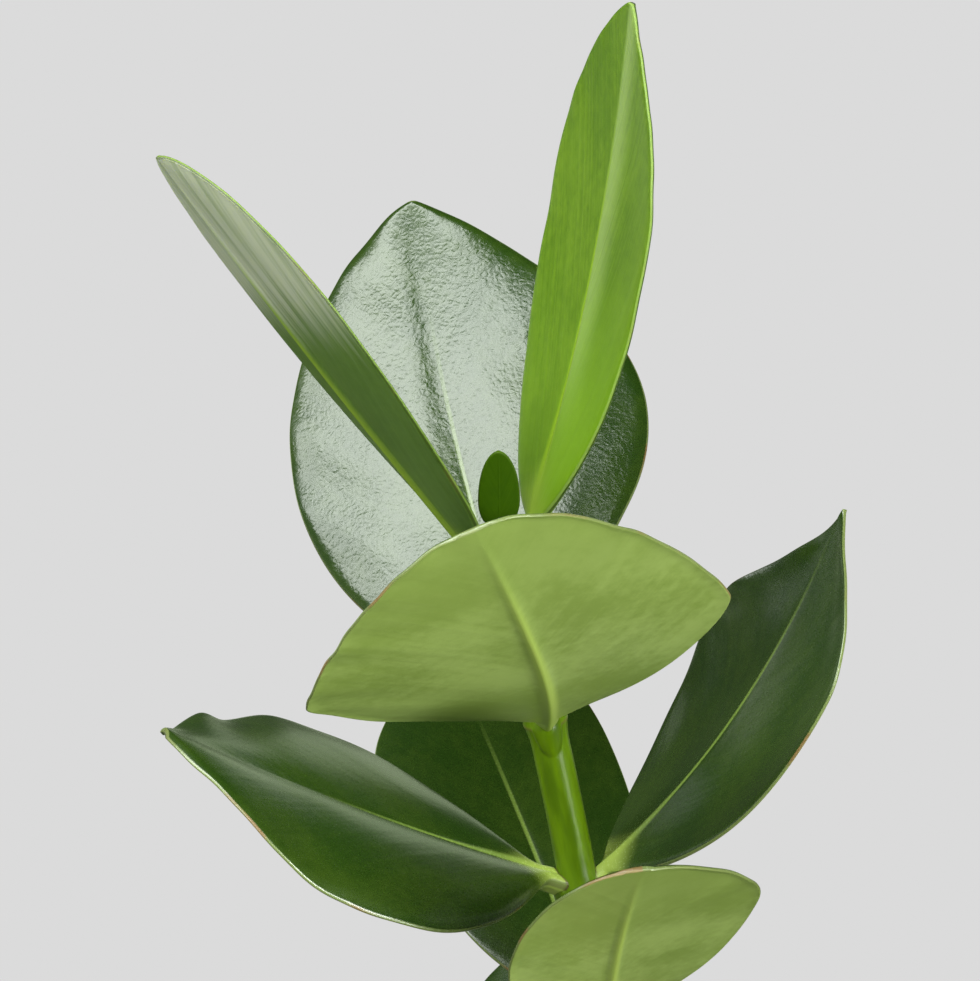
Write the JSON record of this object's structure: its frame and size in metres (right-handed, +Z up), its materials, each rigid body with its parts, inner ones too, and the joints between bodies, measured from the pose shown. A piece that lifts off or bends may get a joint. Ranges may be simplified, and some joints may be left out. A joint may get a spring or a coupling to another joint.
{
  "type": "potted clusia",
  "caption": "Young potted clusia: one leaning green stem with opposite pairs of thick, leathery, rounded leaves, in soil in a plain tapered clay pot.",
  "frame": {"origin": "centre of the pot's flat base", "axes": "+Z up, -Y towards the viewer of the picture, +X to the viewer's right"},
  "size_m": [0.2116, 0.2263, 0.5004],
  "materials": {
    "clay": "unglazed, matte",
    "soil": "loose, matte, peat-based",
    "stem": "smooth green bark, satin",
    "young_leaf": "satin, leathery",
    "mature_leaf": "glossy upper face, satin olive underside"
  },
  "bodies": {
    "root": {"pot": "clay", "soil": "soil", "stem": "stem", "leaf_tip_front": "young_leaf", "leaf_tip_back": "young_leaf", "leaf_top_left": "young_leaf", "leaf_top_right": "young_leaf", "leaf_upper_front": "mature_leaf", "leaf_upper_back": "mature_leaf", "leaf_middle_left": "mature_leaf", "leaf_middle_right": "mature_leaf", "leaf_lower_front": "mature_leaf", "leaf_lower_back": "mature_leaf", "leaf_low_left": "mature_leaf", "leaf_low_right": "mature_leaf", "leaf_bottom_front": "mature_leaf", "leaf_bottom_back": "mature_leaf"}
  },
  "joints": []
}
